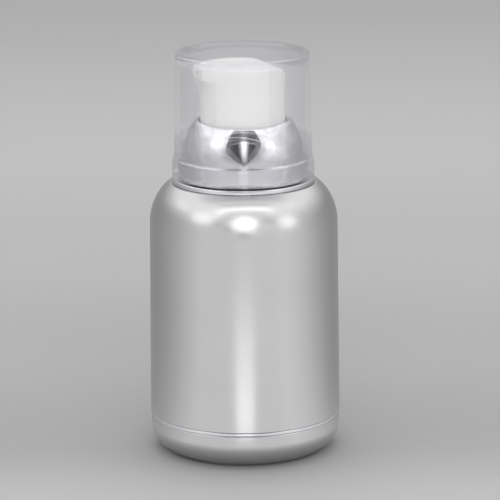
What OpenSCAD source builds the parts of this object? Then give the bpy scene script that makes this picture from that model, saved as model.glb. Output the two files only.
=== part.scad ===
// Airless pump bottle with a clear overcap, a push button with a side spout,
// a bright domed collar and a satin silver body on a separate foot cup.
// Origin: on the floor, on the bottle's axis. +Z is up and the spout points along -X.

/* [Body] */
// Outside diameter of the silver shell at its foot
body_d = 60; // [58:0.5:68]
// Height of the silver shell
shell_h = 73.5; // [70:0.5:100]
// Wall of the silver shell
shell_wall = 1.6; // [1.2:0.1:1.8]
// How much narrower each side of the shell is where the shoulder starts
shell_draft = 0.6; // [0.2:0.1:0.8]
// Outside diameter of the shell's opening, at the top of the shoulder
lip_d = 46.2; // [45:0.1:47]
// Half height of the oval that the shoulder follows
shoulder_h = 15; // [15:0.1:17]
// Height of the shoulder, up to the opening for the neck
shoulder_rise = 13.1; // [12.5:0.1:13.1]

/* [Foot] */
// Height of the foot cup up to the trim ring
foot_h = 11.1; // [10.5:0.1:15]
// Radius of the foot cup's lower edge
foot_round = 8; // [5:0.5:8.5]
// Wall of the foot cup
foot_wall = 1.8; // [1.4:0.1:2.2]
// Height of the polished trim ring
trim_h = 1; // [0.8:0.1:2]
// Depth of the trim ring below the shell's face
trim_recess = 0.25; // [0.1:0.05:0.4]
// Depth of the hollow under the foot
foot_hollow = 1; // [0.6:0.1:1.5]
// Diameter of the air holes in the foot cup and the plug
vent_d = 6; // [2:0.5:8]

/* [Inner bottle] */
// Wall of the inner bottle
bottle_wall = 1.5; // [1.2:0.1:1.8]
// Outside diameter of the neck, without its thread
neck_d = 31.8; // [30:0.1:32]
// Wall of the neck
neck_wall = 1.6; // [1.3:0.1:1.9]
// Height of the neck above the polished neck ring
neck_h = 7; // [6.6:0.1:8]
// Height of the polished neck ring's rim
neck_ring_h = 1.4; // [1:0.1:2]

/* [Thread] */
// Rise of the closure for each turn
thread_pitch = 3; // [2.8:0.1:3.4]
// Depth of the thread ridges
thread_depth = 0.85; // [0.7:0.05:0.95]
// Width of a thread ridge at its root
thread_root_w = 1.2; // [1:0.1:1.2]
// Width of a thread ridge at its crest
thread_crest_w = 0.5; // [0.4:0.1:0.7]
// Degrees that each thread ridge runs round
thread_run = 450; // [300:10:450]

/* [Collar] */
// Diameter of the collar's foot, where the dome starts
collar_d = 38; // [37.8:0.1:39]
// Diameter of the collar's flange, which carries the overcap
flange_d = 40.2; // [40:0.1:41]
// Height of the flange
flange_h = 5.5; // [4.5:0.1:6]
// Radius of the dome's curve
dome_r = 22.5; // [21.5:0.5:26]
// Wall of the collar
collar_wall = 1; // [0.8:0.05:1]
// Wall of the screw closure
closure_wall = 0.9; // [0.8:0.05:1]

/* [Button] */
// Diameter of the push button
button_d = 26.4; // [25:0.1:26.8]
// Height of the button, from its skirt to its top
button_h = 19.2; // [18.6:0.1:21]
// Depth of the button's skirt inside the collar at rest
button_sink = 2.1; // [1.5:0.1:2.5]
// Wall of the button
button_wall = 1.2; // [1:0.1:1.4]
// Distance from the axis to the tip of the spout
spout_reach = 15; // [14.6:0.1:16]
// Width of the spout at its tip
spout_w = 7.6; // [6:0.1:9]
// Height of the spout's end face
spout_h = 3.4; // [3.2:0.1:3.8]
// Travel of the button
stroke = 4.5; // [3:0.1:4.6]
// Gap left under the button's skirt when it is pressed
press_gap = 0.7; // [0.4:0.1:1]

/* [Pump] */
// Bore of the pump's cylinder
pump_bore_d = 11.8; // [11:0.1:12.4]
// Wall of the pump's cylinder
pump_wall = 1.1; // [0.9:0.1:1.3]
// Outside diameter of the stem
stem_d = 6.6; // [6:0.1:7]
// Bore of the stem
stem_bore_d = 3; // [2.4:0.1:3.2]
// Diameter of the inlet ball
inlet_ball_d = 4.8; // [4.2:0.1:5]
// Diameter of the outlet ball
outlet_ball_d = 3.8; // [3.6:0.1:4]
// Slack of the pump piston on the stem, which opens its valve
piston_slack = 0.8; // [0.5:0.1:1]
// Wire of the return spring
wire_d = 0.9; // [0.7:0.1:1]
// Turns of the return spring
spring_turns = 6; // [4:0.5:6.5]

/* [Follower] */
// Height of the follower piston
follower_h = 14; // [12:0.5:18]
// Wall of the follower piston
follower_wall = 1.4; // [1.1:0.1:1.8]

/* [Overcap] */
// Gap between the top of the spout and the overcap's underside
cap_room = 2.6; // [0.5:0.1:5]
// Outside diameter at the top of the overcap
cap_top_d = 41.6; // [41:0.1:42.4]
// Outside diameter of the wall above the lip
cap_wall_d = 42.9; // [42.6:0.1:44]
// Outside diameter of the lip at the overcap's mouth
cap_lip_d = 44.4; // [44:0.1:45.4]
// Height of the lip
cap_lip_h = 4.5; // [3.5:0.1:5]
// Wall of the overcap
cap_wall = 1.5; // [1.2:0.1:1.7]
// Thickness of the top plate at its edge
cap_plate = 1; // [0.8:0.1:2.6]
// Crown on the underside of the top plate, which is thickest in the middle
cap_crown = 0.2; // [0.1:0.1:0.7]

/* [Fits] */
// Gap between a sliding piece and its bore, on each side
running_gap = 0.05; // [0.02:0.01:0.08]
// Gap between pieces that are pushed together, on each side
snug_gap = 0.05; // [0.02:0.01:0.08]
// Gap between pieces that pass each other freely
free_gap = 0.3; // [0.2:0.05:0.4]
// Air gap of a visible joint line
line_gap = 0.5; // [0.3:0.1:0.7]
// Small chamfer on the edges that show
edge = 0.2; // [0.1:0.05:0.3]

/* [Hidden] */
$fn = 96;

// How far a cutter runs past the face it cuts
past = 1;
// How far a joined feature is sunk into its wall
sunk = 0.3;
arc_steps = 14;

// Shell and foot
body_r = body_d / 2;
foot_r = body_r - edge;
shell_z = foot_h + trim_h;
shell_top_z = shell_z + shell_h;
shoulder_z = shell_top_z - shoulder_rise;
shoulder_r = body_r - shell_draft;
shell_lip_r = lip_d / 2;
shell_out_angle = asin(shoulder_rise / shoulder_h);
shoulder_w = (shoulder_r - shell_lip_r) / (1 - cos(shell_out_angle));
oval_r = shoulder_r - shoulder_w;

// Inner bottle, inside the shell's narrowest place
bottle_gap = 0.4;
bottle_drop = 1;
neck_ring_sink = 1.8;
thread_start_h = 1.9;
bottle_r = shoulder_r - shell_wall - bottle_gap;
bore_r = bottle_r - bottle_wall;
bottle_shoulder_z = shoulder_z - bottle_drop;
bottle_top_z = shell_top_z - neck_ring_sink;
neck_ring_z = shell_top_z + neck_ring_h;
bottle_oval_w = bottle_r - oval_r;
bottle_oval_h = bottle_top_z - bottle_shoulder_z;
bottle_in_w = bottle_oval_w - bottle_wall;
bottle_in_h = bottle_oval_h - bottle_wall;
neck_r = neck_d / 2;
neck_bore_r = neck_r - neck_wall;
bottle_out_angle = acos(max(0, (neck_r - oval_r) / bottle_oval_w));
bottle_in_angle = acos(max(0, (neck_bore_r - oval_r) / bottle_in_w));
thread_z = neck_ring_z + thread_start_h;
rim_z = neck_ring_z + neck_h;

// Neck ring, with a spigot that goes into the shell's opening
neck_ring_step = 0.8;
neck_spigot_w = 2.5;
neck_ring_in_r = neck_r + thread_depth + free_gap;
shell_in_w = shoulder_w - shell_wall;
shell_in_h = shoulder_h - shell_wall;
shell_arc_end_r = oval_r + shell_in_w * cos(asin(shoulder_rise / shell_in_h));
shell_mouth_r = max(neck_ring_in_r + neck_spigot_w, shell_arc_end_r);
shell_in_angle = acos((shell_mouth_r - oval_r) / shell_in_w);

// Foot cup: a spigot holds the trim ring, the shell and the inner bottle
spigot_h = 4;
floor_edge = 4;
plug_rise = 1.2;
plug_t = 1.5;
plug_skirt_w = 1.6;
socket_r = bottle_r + snug_gap;
spigot_r = body_r - shell_wall - 2 * snug_gap;
spigot_top_z = foot_h + spigot_h;
foot_floor_z = foot_hollow + foot_wall;
hollow_r = body_r - foot_round - floor_edge;
seat_z = foot_round;
seat_in_r = bore_r - snug_gap - plug_skirt_w;
plug_z = seat_z + plug_rise;

// Flange of the pump on the neck's rim, with the closure over it
gasket_t = 1;
pump_flange_t = 1.4;
closure_top_t = 1.4;
turret_h = 2.6;
turret_wall = 1.7;
guide_t = 1.5;
guide_wall = 1.7;
pump_flange_z = rim_z + gasket_t;
pump_flange_r = neck_r;
pump_top_z = pump_flange_z + pump_flange_t;
closure_top_z = pump_top_z + closure_top_t;
pump_bore_r = pump_bore_d / 2;
pump_r = pump_bore_r + pump_wall;
turret_r = pump_bore_r + turret_wall;
turret_z = pump_top_z + turret_h;
guide_top_z = turret_z + snug_gap + guide_t;
guide_r = turret_r + snug_gap + guide_wall;

// Stem and pump piston, which hang from the button
stem_stop_t = 1.5;
stem_stop_w = 1.5;
spigot_step = 0.7;
piston_drop = 5.4;
piston_len = 5;
piston_sleeve_w = 1.1;
piston_lip_w = 0.8;
valve_head_t = 1.2;
shank_l = 2;
port_r = 0.6;
stem_r = stem_d / 2;
spigot_stem_r = stem_r - spigot_step;
piston_top_z = pump_top_z - piston_drop;
piston_z = piston_top_z - piston_len;
piston_r = pump_bore_r - running_gap;
piston_tube_r = stem_r + piston_sleeve_w;
stem_step_z = piston_top_z + piston_slack + 2 * snug_gap;

// Inlet valve, which the pressed stem just clears
ball_rest = 0.01;
ball_lift = 1.2;
inlet_r = 1.5;
inlet_floor_t = 3;
inlet_cone_h = 2;
pump_spare = 0.5;
cage_wall = 1.1;
cage_top_t = 0.8;
cage_r = inlet_ball_d / 2 + free_gap + cage_wall;
inlet_ball_rise = sqrt(pow(inlet_ball_d / 2, 2) - pow(inlet_r, 2)) + ball_rest;
cage_h = inlet_ball_rise + inlet_ball_d / 2 + ball_lift + free_gap + cage_top_t;
inlet_floor_z = piston_z - valve_head_t - stroke - pump_spare - cage_h;
inlet_ball_z = inlet_floor_z + inlet_ball_rise;
cage_top_z = inlet_floor_z + cage_h;
pump_foot_z = inlet_floor_z - inlet_floor_t;

// Collar
dome_drop = 0.7;
hole_gap = 0.5;
hole_wall = 0.9;
collar_roof = 3.1;
collar_rim = 0.7;
rim_angle = 16;
rim_start_angle = 22;
closure_chamfer_h = 0.8;
closure_step = 0.1;
collar_z = neck_ring_z + line_gap;
flange_top_z = collar_z + flange_h;
collar_top_z = closure_top_z + press_gap + stroke + button_sink;
collar_r = collar_d / 2;
flange_r = flange_d / 2;
dome_z = flange_top_z - dome_drop;
dome_c = collar_r - dome_r;
collar_in_r = collar_r - collar_wall;
hole_r = button_d / 2 + hole_gap;
collar_tube_r = hole_r + hole_wall;
closure_r = collar_in_r - 2 * snug_gap;
closure_bore_r = closure_r - closure_wall;
closure_step_z = rim_z - closure_step;
closure_chamfer_z = flange_top_z + closure_chamfer_h;

// Button and spout
top_start = -4;
top_drop = 17;
top_power = 2.4;
spout_rise = 0.3;
spout_foot = 4;
spout_root = 1.2;
tip_step = 0.4;
roof_t = 1.4;
boss_wall = 1.3;
boss_spare = 0.95;
stem_socket = 7;
land_rise = 1;
land_w = 2.4;
socket_gap = 0.02;
outlet_lift = 0.9;
outlet_room = 0.2;
outlet_r = 0.7;
insert_r = 1.15;
insert_l = 3;
insert_bore_r = 0.7;
button_r = button_d / 2;
button_z = collar_top_z - button_sink;
button_top_z = button_z + button_h;
top_end = button_r + 0.2;
spout_top_z = button_top_z + spout_rise;
boss_r = stem_r + boss_wall;
boss_z = guide_top_z + stroke + boss_spare;
stem_top_z = boss_z + stem_socket;
spring_top_z = stem_top_z + land_rise;
spring_land_r = boss_r + land_w;
valve_room_r = outlet_ball_d / 2 + free_gap;
outlet_ball_z = stem_top_z + sqrt(pow(outlet_ball_d / 2, 2) - pow(stem_bore_d / 2, 2)) + ball_rest;
valve_room_z = outlet_ball_z + outlet_ball_d / 2 + outlet_lift + outlet_room;
outlet_z = spout_top_z - spout_h / 2;

// Follower piston, just above the plug when the bottle is full. It rises until its top
// stands follower_over above the start of the shoulder, with the pump's foot in its well.
follower_rest = 0.4;
follower_gap = 0.7;
seal_depth = 0.8;
seal_edge = 2.4;
well_gap = 1.5;
well_spare = 1;
crown_in = 2;
follower_over = 4.6;
follower_z = plug_z + plug_t + follower_rest;
follower_top_z = follower_z + follower_h;
follower_r = bore_r - follower_gap;
seal_z = follower_z + seal_edge;
seal_h = follower_h - 3 * seal_edge;
well_r = pump_r + well_gap;
follower_end_z = bottle_shoulder_z + follower_over;
well_depth = follower_end_z - pump_foot_z + well_spare;

// Overcap
cap_blend = 2.4;
cap_round = 0.5;
cap_corner = 0.4;
cap_draft = 0.2;
cap_z = collar_z;
cap_under_z = spout_top_z + cap_room + cap_crown;
cap_top_z = cap_under_z + cap_plate;
cap_top_r = cap_top_d / 2;
cap_wall_r = cap_wall_d / 2;
cap_lip_r = cap_lip_d / 2;
cap_mouth_r = flange_r + free_gap;
cap_in_top_r = cap_top_r - cap_wall;
cap_in_foot_r = cap_wall_r - cap_wall - cap_draft;

// Points of an oval arc from angle a to angle b
function oval(cx, cz, w, h, a, b, n = arc_steps) =
  [for (i = [0:n]) let (t = a + (b - a) * i / n) [cx + w * cos(t), cz + h * sin(t)]];

// Radius of the collar's dome, inset by a wall, at a height
function dome_at(z, wall = 0) = dome_c + sqrt(pow(dome_r - wall, 2) - pow(z - dome_z, 2));

// Height of the button's top along the spout's direction, x from the spout to the back
function top_at(x) = let (
    ahead = (top_start - x) / (top_start + spout_reach),
    behind = max(0, (x - top_start) / (top_end - top_start)))
  x < top_start
    ? button_top_z + spout_rise * ahead
    : button_top_z - top_drop * (1 - pow(1 - pow(behind, top_power), 1 / top_power));

module tube(r_out, r_in, z0, z1) {
  translate([0, 0, z0])
    difference() {
      cylinder(r = r_out, h = z1 - z0);
      translate([0, 0, -past]) cylinder(r = r_in, h = z1 - z0 + 2 * past);
    }
}

// One ridge of a screw thread, swept up a helix and sunk into the wall it stands on
module thread_ridge(wall_r, side, z0, a0, run) {
  steps = 30;
  ramp = 40;
  blunt = 4;
  ring = 4;
  pts = [for (i = [0:steps]) let (
      t = run * i / steps,
      a = a0 + t,
      z = z0 + thread_pitch * a / 360,
      grow = min(1, (t + blunt) / ramp, (run - t + blunt) / ramp),
      r0 = wall_r - side * sunk,
      r1 = wall_r + side * thread_depth * grow)
    each [for (q = [[r0, -thread_root_w / 2], [r1, -thread_crest_w / 2],
        [r1, thread_crest_w / 2], [r0, thread_root_w / 2]])
      [q[0] * cos(a), q[0] * sin(a), z + q[1]]]];
  sides = [for (i = [0:steps - 1], k = [0:ring - 1]) let (
      a = i * ring + k,
      b = i * ring + (k + 1) % ring)
    each [[a, b, b + ring], [a, b + ring, a + ring]]];
  last = steps * ring;
  ends = [[0, 2, 1], [0, 3, 2], [last, last + 1, last + 2], [last, last + 2, last + 3]];
  faces = concat(sides, ends);
  polyhedron(pts, side > 0 ? faces : [for (f = faces) [f[2], f[1], f[0]]]);
}

// Round wire wound up a helix, with a flat quarter turn at both ends
module coil(mean_r, wire_r, z0, z1, turns) {
  ring = 8;
  per_turn = 20;
  flat = 0.25;
  seat_gap = 0.02;
  steps = round(turns * per_turn);
  low = z0 + wire_r + seat_gap;
  high = z1 - wire_r - seat_gap;
  function rise(t) = low + (high - low) * min(1, max(0, (t - flat) / (turns - 2 * flat)));
  pts = [for (i = [0:steps]) let (t = turns * i / steps, a = 360 * t, z = rise(t))
    each [for (k = [0:ring - 1]) let (b = 360 * k / ring, r = mean_r + wire_r * cos(b))
      [r * cos(a), r * sin(a), z + wire_r * sin(b)]]];
  sides = [for (i = [0:steps - 1], k = [0:ring - 1]) let (
      a = i * ring + k,
      b = i * ring + (k + 1) % ring)
    each [[a, b, b + ring], [a, b + ring, a + ring]]];
  last = steps * ring;
  ends = concat(
    [for (k = [1:ring - 2]) [0, k + 1, k]],
    [for (k = [1:ring - 2]) [last, last + k, last + k + 1]]);
  polyhedron(pts, concat(sides, ends));
}

module overcap() {
  crown_steps = 6;
  color([0.86, 0.87, 0.9, 0.4])
    rotate_extrude() polygon(concat(
      [[cap_mouth_r, cap_z],
        [cap_lip_r - 2 * edge, cap_z],
        [cap_lip_r, cap_z + 2 * edge],
        [cap_lip_r, cap_z + cap_lip_h],
        [cap_wall_r, cap_z + cap_lip_h + cap_blend]],
      oval(cap_top_r - cap_round, cap_top_z - cap_round, cap_round, cap_round, 0, 90, 6),
      [[0, cap_top_z]],
      [for (i = [0:crown_steps]) let (q = i / crown_steps)
        [q * (cap_in_top_r - cap_corner), cap_under_z - cap_crown * (1 - q * q)]],
      [[cap_in_top_r, cap_under_z - cap_corner],
        [cap_in_foot_r, flange_top_z],
        [cap_mouth_r, flange_top_z]]));
}

// Everything under the button's top face, lowered by inset
module under_top(inset) {
  back = top_end - inset;
  steps = 18;
  span = back - top_start;
  translate([0, 2 * button_r, 0]) rotate([90, 0, 0]) linear_extrude(4 * button_r)
    polygon(concat(
      [[-spout_reach - past, spout_top_z - inset],
        [-spout_reach - past, button_z - past],
        [back, button_z - past]],
      [for (i = [0:steps]) let (
          x = back - span * (1 - cos(90 * i / steps)),
          outer_x = x + inset * (x - top_start) / span)
        [x, top_at(outer_x) - inset]],
      [[-spout_reach, spout_top_z - inset]]));
}

// The spout: two sides that leave the round wall along its tangents, and a sloping underside
module spout() {
  reach = norm([spout_w / 2, spout_reach]);
  turn = atan2(spout_w / 2, spout_reach) + acos(button_r / reach);
  tip_z = spout_top_z - spout_h;
  intersection() {
    translate([0, 0, button_z]) linear_extrude(button_h + past) polygon([
      [0, 0],
      [button_r * cos(180 + turn), button_r * sin(180 + turn)],
      [-spout_reach + edge, -spout_w / 2],
      [-spout_reach, -spout_w / 2 + edge],
      [-spout_reach, spout_w / 2 - edge],
      [-spout_reach + edge, spout_w / 2],
      [button_r * cos(180 - turn), button_r * sin(180 - turn)]]);
    translate([0, button_r, 0]) rotate([90, 0, 0]) linear_extrude(2 * button_r) polygon([
      [-spout_reach, spout_top_z + past],
      [-spout_reach, tip_z],
      [-spout_reach + tip_step, tip_z - tip_step],
      [-button_r + spout_root, tip_z - spout_foot],
      [0, tip_z - spout_foot],
      [0, spout_top_z + past]]);
  }
}

module button_solid() {
  intersection() {
    union() {
      translate([0, 0, button_z]) cylinder(r = button_r, h = button_h + past);
      spout();
    }
    under_top(0);
  }
}

module actuator() {
  duct_r = outlet_r + button_wall;
  color([0.93, 0.93, 0.92])
    difference() {
      union() {
        difference() {
          button_solid();
          intersection() {
            translate([0, 0, button_z - past]) cylinder(r = button_r - button_wall, h = button_h + 2 * past);
            under_top(roof_t);
          }
        }
        intersection() {
          button_solid();
          union() {
            translate([0, 0, boss_z]) cylinder(r = boss_r, h = button_h);
            translate([0, 0, spring_top_z]) cylinder(r = spring_land_r, h = button_h);
          }
        }
        intersection() {
          button_solid();
          translate([-button_r, -duct_r, outlet_z - duct_r]) cube([button_r, 2 * duct_r, button_h]);
        }
      }
      translate([0, 0, boss_z - past]) cylinder(r = stem_r + socket_gap, h = stem_top_z - boss_z + past);
      translate([0, 0, stem_top_z - past]) cylinder(r = valve_room_r, h = valve_room_z - stem_top_z + past);
      translate([0, 0, stem_top_z]) cylinder(r = outlet_r, h = outlet_z - stem_top_z);
      translate([0, 0, outlet_z]) rotate([0, -90, 0]) cylinder(r = outlet_r, h = spout_reach + past);
      translate([-spout_reach + insert_l, 0, outlet_z]) rotate([0, -90, 0])
        cylinder(r = insert_r + socket_gap, h = insert_l + past);
    }
}

module nozzle_insert() {
  color([0.9, 0.9, 0.89])
    translate([-spout_reach + insert_l, 0, outlet_z]) rotate([0, -90, 0])
      difference() {
        cylinder(r = insert_r, h = insert_l);
        translate([0, 0, -past]) cylinder(r = insert_bore_r, h = insert_l + 2 * past);
      }
}

module collar_cover() {
  in_top_z = collar_top_z - collar_roof;
  out_angle = asin((collar_top_z - collar_rim - dome_z) / dome_r);
  in_angle = asin((in_top_z - dome_z) / (dome_r - collar_wall));
  foot_angle = asin(dome_drop / dome_r);
  rim_w = (dome_at(collar_top_z - collar_rim) - hole_r - edge) / cos(rim_angle);
  rim_h = collar_rim / (1 - sin(rim_angle));
  color([0.8, 0.8, 0.82])
    rotate_extrude() polygon(concat(
      [[collar_in_r, collar_z],
        [flange_r - edge, collar_z],
        [flange_r, collar_z + edge],
        [flange_r, flange_top_z - edge],
        [flange_r - edge, flange_top_z]],
      oval(dome_c, dome_z, dome_r, dome_r, foot_angle, out_angle),
      oval(hole_r + edge, collar_top_z - rim_h, rim_w, rim_h, rim_start_angle, 90, 6),
      [[hole_r, collar_top_z - edge],
        [hole_r, closure_top_z],
        [collar_tube_r, closure_top_z],
        [collar_tube_r, in_top_z]],
      oval(dome_c, dome_z, dome_r - collar_wall, dome_r - collar_wall, in_angle, 0)));
}

module screw_closure() {
  color([0.9, 0.9, 0.9]) {
    rotate_extrude() polygon([
      [closure_bore_r, collar_z],
      [closure_r, collar_z],
      [closure_r, closure_chamfer_z],
      [dome_at(closure_top_z, collar_wall) - 2 * snug_gap, closure_top_z],
      [guide_r + free_gap, closure_top_z],
      [guide_r + free_gap, pump_top_z],
      [pump_flange_r + free_gap, pump_top_z],
      [pump_flange_r + free_gap, closure_step_z],
      [closure_bore_r, closure_step_z]]);
    thread_ridge(closure_bore_r, -1, thread_z - thread_pitch / 2, 150, thread_run);
  }
}

module neck_gasket() {
  color([0.75, 0.75, 0.78]) tube(neck_r, pump_r + snug_gap, rim_z, pump_flange_z);
}

module pump_housing() {
  seat_out_r = cage_r + 2 * snug_gap;
  color([0.88, 0.9, 0.92])
    rotate_extrude() polygon([
      [inlet_r, pump_foot_z],
      [2 * inlet_r, pump_foot_z],
      [pump_r, inlet_floor_z],
      [pump_r, pump_flange_z],
      [pump_flange_r, pump_flange_z],
      [pump_flange_r, pump_top_z],
      [turret_r, pump_top_z],
      [turret_r, turret_z],
      [pump_bore_r, turret_z],
      [pump_bore_r, inlet_floor_z + inlet_cone_h],
      [seat_out_r, inlet_floor_z],
      [inlet_r, inlet_floor_z]]);
}

module housing_cap() {
  color([0.85, 0.87, 0.9])
    rotate_extrude() polygon([
      [turret_r + snug_gap, pump_top_z],
      [guide_r, pump_top_z],
      [guide_r, guide_top_z - edge],
      [guide_r - edge, guide_top_z],
      [stem_r + running_gap, guide_top_z],
      [stem_r + running_gap, turret_z + snug_gap],
      [turret_r + snug_gap, turret_z + snug_gap]]);
}

module ball_cage() {
  slots = 4;
  slot_w = 1.2;
  slot_floor = 1.5;
  roof_z = cage_top_z - cage_top_t;
  color([0.92, 0.92, 0.9])
    difference() {
      union() {
        tube(cage_r, cage_r - cage_wall, inlet_floor_z, cage_top_z);
        tube(cage_r - cage_wall + sunk, inlet_r, roof_z, cage_top_z);
      }
      for (i = [0:slots - 1])
        rotate([0, 0, i * 360 / slots])
          translate([0, -slot_w / 2, inlet_floor_z + slot_floor])
            cube([cage_r + past, slot_w, roof_z - inlet_floor_z - slot_floor]);
    }
}

module inlet_ball() {
  color([0.7, 0.7, 0.72]) translate([0, 0, inlet_ball_z]) sphere(d = inlet_ball_d);
}

module stem() {
  port_z = piston_z + shank_l + 2 * port_r;
  color([0.92, 0.93, 0.95])
    difference() {
      union() {
        translate([0, 0, piston_z]) cylinder(r = spigot_stem_r, h = stem_top_z - piston_z);
        translate([0, 0, stem_step_z]) cylinder(r = stem_r, h = stem_top_z - stem_step_z);
        translate([0, 0, turret_z - stem_stop_t]) cylinder(r = stem_r + stem_stop_w, h = stem_stop_t);
      }
      translate([0, 0, piston_z - past]) cylinder(d = stem_bore_d, h = stem_top_z - piston_z + 2 * past);
      translate([-stem_r, 0, port_z]) rotate([0, 90, 0]) cylinder(r = port_r, h = stem_d);
    }
}

module valve_stem() {
  color([0.85, 0.86, 0.88]) {
    translate([0, 0, piston_z - valve_head_t]) cylinder(r = piston_tube_r, h = valve_head_t);
    translate([0, 0, piston_z - valve_head_t / 2])
      cylinder(r = stem_bore_d / 2 - socket_gap, h = shank_l + valve_head_t / 2);
  }
}

module pump_piston() {
  wiper_h = 1.1;
  web_rise = 1.6;
  web_t = 1.2;
  lip_h = 4.6;
  channel_w = 0.4;
  web_z = piston_z + web_rise;
  lip_z = web_z + web_t / 2 - lip_h / 2;
  inner_r = spigot_stem_r + channel_w;
  color([0.8, 0.85, 0.92])
    rotate_extrude() polygon([
      [inner_r, piston_z],
      [piston_tube_r, piston_z],
      [piston_tube_r, web_z],
      [piston_r - piston_lip_w, web_z],
      [piston_r - piston_lip_w, lip_z],
      [piston_r, lip_z],
      [piston_r, lip_z + lip_h],
      [piston_r - piston_lip_w, lip_z + lip_h],
      [piston_r - piston_lip_w, web_z + web_t],
      [piston_tube_r, web_z + web_t],
      [piston_tube_r, piston_top_z],
      [spigot_stem_r + running_gap, piston_top_z],
      [spigot_stem_r + running_gap, piston_top_z - wiper_h],
      [inner_r, piston_top_z - wiper_h]]);
}

module outlet_ball() {
  color([0.7, 0.7, 0.72]) translate([0, 0, outlet_ball_z]) sphere(d = outlet_ball_d);
}

module return_spring() {
  color([0.65, 0.65, 0.68])
    coil(boss_r + free_gap / 2 + wire_d / 2, wire_d / 2, guide_top_z, spring_top_z, spring_turns);
}

module neck_ring() {
  ring_r = shell_lip_r - neck_ring_step;
  neck_spigot_r = shell_mouth_r - 3 * snug_gap;
  color([0.82, 0.82, 0.84])
    rotate_extrude() polygon([
      [neck_ring_in_r, bottle_top_z],
      [neck_spigot_r, bottle_top_z],
      [neck_spigot_r, shell_top_z],
      [ring_r, shell_top_z],
      [ring_r, neck_ring_z - edge],
      [ring_r - edge, neck_ring_z],
      [neck_ring_in_r, neck_ring_z]]);
}

module outer_shell() {
  color([0.72, 0.72, 0.75])
    rotate_extrude() polygon(concat(
      [[body_r - edge, shell_z], [body_r, shell_z + edge]],
      oval(oval_r, shoulder_z, shoulder_w, shoulder_h, 0, shell_out_angle, 20),
      [[shell_mouth_r, shell_top_z]],
      oval(oval_r, shoulder_z, shell_in_w, shell_in_h, shell_in_angle, 0),
      [[body_r - shell_wall, shell_z]]));
}

module inner_bottle() {
  color([0.93, 0.94, 0.95, 0.7]) {
    rotate_extrude() polygon(concat(
      [[bottle_r, seat_z]],
      oval(oval_r, bottle_shoulder_z, bottle_oval_w, bottle_oval_h, 0, bottle_out_angle),
      [[neck_r, bottle_top_z],
        [neck_r, rim_z],
        [neck_bore_r, rim_z],
        [neck_bore_r, bottle_top_z - bottle_wall]],
      oval(oval_r, bottle_shoulder_z, bottle_in_w, bottle_in_h, bottle_in_angle, 0),
      [[bore_r, seat_z]]));
    thread_ridge(neck_r, 1, thread_z, 0, thread_run);
  }
}

module follower_piston() {
  roof_z = follower_top_z;
  side_r = follower_r - seal_depth;
  in_r = side_r - follower_wall;
  color([0.93, 0.93, 0.94])
    rotate_extrude() polygon([
      [0, roof_z - well_depth],
      [well_r, roof_z - well_depth],
      [well_r, roof_z],
      [follower_r - crown_in, roof_z],
      [follower_r, roof_z - crown_in],
      [follower_r, seal_z + seal_h + edge],
      [side_r, seal_z + seal_h + edge],
      [side_r, seal_z - edge],
      [follower_r, seal_z - edge],
      [follower_r, follower_z],
      [in_r, follower_z],
      [in_r, roof_z - crown_in - follower_wall],
      [in_r - crown_in, roof_z - follower_wall],
      [well_r + follower_wall, roof_z - follower_wall],
      [well_r + follower_wall, roof_z - well_depth - follower_wall],
      [0, roof_z - well_depth - follower_wall]]);
}

module follower_seal() {
  lip_r = bore_r - running_gap;
  lip_h = seal_h / 4;
  color([0.6, 0.62, 0.66])
    rotate_extrude() polygon([
      [follower_r - seal_depth + snug_gap, seal_z],
      [lip_r, seal_z],
      [lip_r, seal_z + lip_h],
      [follower_r, seal_z + 1.5 * lip_h],
      [follower_r, seal_z + 2.5 * lip_h],
      [lip_r, seal_z + 3 * lip_h],
      [lip_r, seal_z + seal_h],
      [follower_r - seal_depth + snug_gap, seal_z + seal_h]]);
}

module base_plug() {
  plug_r = bore_r - snug_gap;
  color([0.9, 0.9, 0.9])
    rotate_extrude() polygon([
      [vent_d / 2, plug_z],
      [plug_r - plug_skirt_w, plug_z],
      [plug_r - plug_skirt_w, seat_z],
      [plug_r, seat_z],
      [plug_r, plug_z + plug_t],
      [vent_d / 2, plug_z + plug_t]]);
}

module trim_ring() {
  color([0.84, 0.84, 0.85])
    tube(body_r - trim_recess, spigot_r + snug_gap, foot_h, shell_z);
}

module base_cup() {
  corner_r = foot_r - foot_round;
  in_round = foot_round - foot_wall;
  color([0.72, 0.72, 0.75]) {
    rotate_extrude() polygon(concat(
      [[vent_d / 2, foot_hollow],
        [hollow_r - foot_hollow, foot_hollow],
        [hollow_r, 0]],
      oval(corner_r, foot_round, foot_round, foot_round, -90, 0),
      [[foot_r, foot_h - edge],
        [foot_r - edge, foot_h],
        [spigot_r, foot_h],
        [spigot_r, spigot_top_z],
        [socket_r, spigot_top_z],
        [socket_r, foot_round]],
      oval(socket_r - in_round, foot_round, in_round, foot_round - foot_floor_z, 0, -90),
      [[vent_d / 2, foot_floor_z]]));
    tube(socket_r + sunk, seat_in_r, foot_floor_z - sunk, seat_z);
  }
}

overcap();
actuator();
nozzle_insert();
collar_cover();
screw_closure();
neck_gasket();
pump_housing();
housing_cap();
ball_cage();
inlet_ball();
stem();
valve_stem();
pump_piston();
outlet_ball();
return_spring();
neck_ring();
outer_shell();
inner_bottle();
follower_piston();
follower_seal();
base_plug();
trim_ring();
base_cup();
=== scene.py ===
import math

import bmesh
import bpy
from mathutils import Matrix, Vector


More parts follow.
